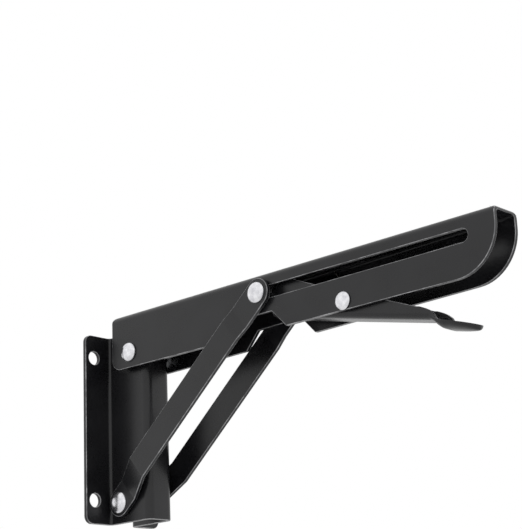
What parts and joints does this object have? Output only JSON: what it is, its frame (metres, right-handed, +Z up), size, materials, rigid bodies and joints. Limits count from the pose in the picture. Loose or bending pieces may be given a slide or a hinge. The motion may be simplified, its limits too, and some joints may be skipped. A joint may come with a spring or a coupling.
{
  "type": "folding shelf bracket",
  "caption": "Folding wall bracket of folded black steel: tapered slotted arm, two-legged strut and sprung release lever.",
  "frame": {"origin": "centre of the four wall screw holes, on the wall's surface", "axes": "+X out from the wall along the arm, +Z up, +Y across the bracket"},
  "size_m": [0.2546, 0.05, 0.1088],
  "materials": {
    "wall_paint": "satin black powder coat",
    "arm_paint": "satin black powder coat",
    "strut_paint": "satin black powder coat",
    "lever_paint": "satin black powder coat",
    "rivet_nickel": "bright nickel",
    "washer_zinc": "zinc plated",
    "spring_steel": "oiled wire"
  },
  "bodies": {
    "wall": {"wall_bracket": "wall_paint", "arm_pivot_rivet": "rivet_nickel", "arm_pivot_spacer_near": "washer_zinc", "arm_pivot_spacer_far": "washer_zinc", "strut_foot_rivet": "rivet_nickel", "strut_foot_washer_near": "washer_zinc", "strut_foot_washer_far": "washer_zinc"},
    "arm": {"arm": "arm_paint", "lever_rivet": "rivet_nickel", "lever_washer_near": "washer_zinc", "lever_washer_far": "washer_zinc"},
    "strut": {"strut_leg_near": "strut_paint", "strut_leg_far": "strut_paint", "slot_rivet_near": "rivet_nickel", "slot_rivet_far": "rivet_nickel"},
    "slot_slide": {"slot_bush_near": "washer_zinc", "slot_bush_far": "washer_zinc"},
    "lever": {"release_lever": "lever_paint", "lever_spring": "spring_steel"}
  },
  "joints": [
    {"name": "arm_fold", "type": "hinge", "parent": "wall", "child": "arm", "pos_m": [0.024, 0, 0.0374], "axis": [0, 1, 0], "range_deg": [0, 90]},
    {"name": "strut_turn", "type": "hinge", "parent": "wall", "child": "strut", "pos_m": [0.0115, 0, -0.0395], "axis": [0, 1, 0], "range_deg": [0, 120]},
    {"name": "bush_slide", "type": "slide", "parent": "arm", "child": "slot_slide", "axis": [1, 0, 0], "range_m": [0, 0.1191]},
    {"name": "lever_press", "type": "hinge", "parent": "arm", "child": "lever", "pos_m": [0.169, 0, 0.0338], "axis": [0, -1, 0], "range_deg": [0, 11], "stiffness_Nm_per_rad": 0.15, "springref_deg": -34.38}
  ],
  "couplings": [
    {"joint": "strut_turn", "follows": "arm_fold", "ratio": 1.3303},
    {"joint": "bush_slide", "follows": "arm_fold", "m_per_rad": 0.075772}
  ]
}
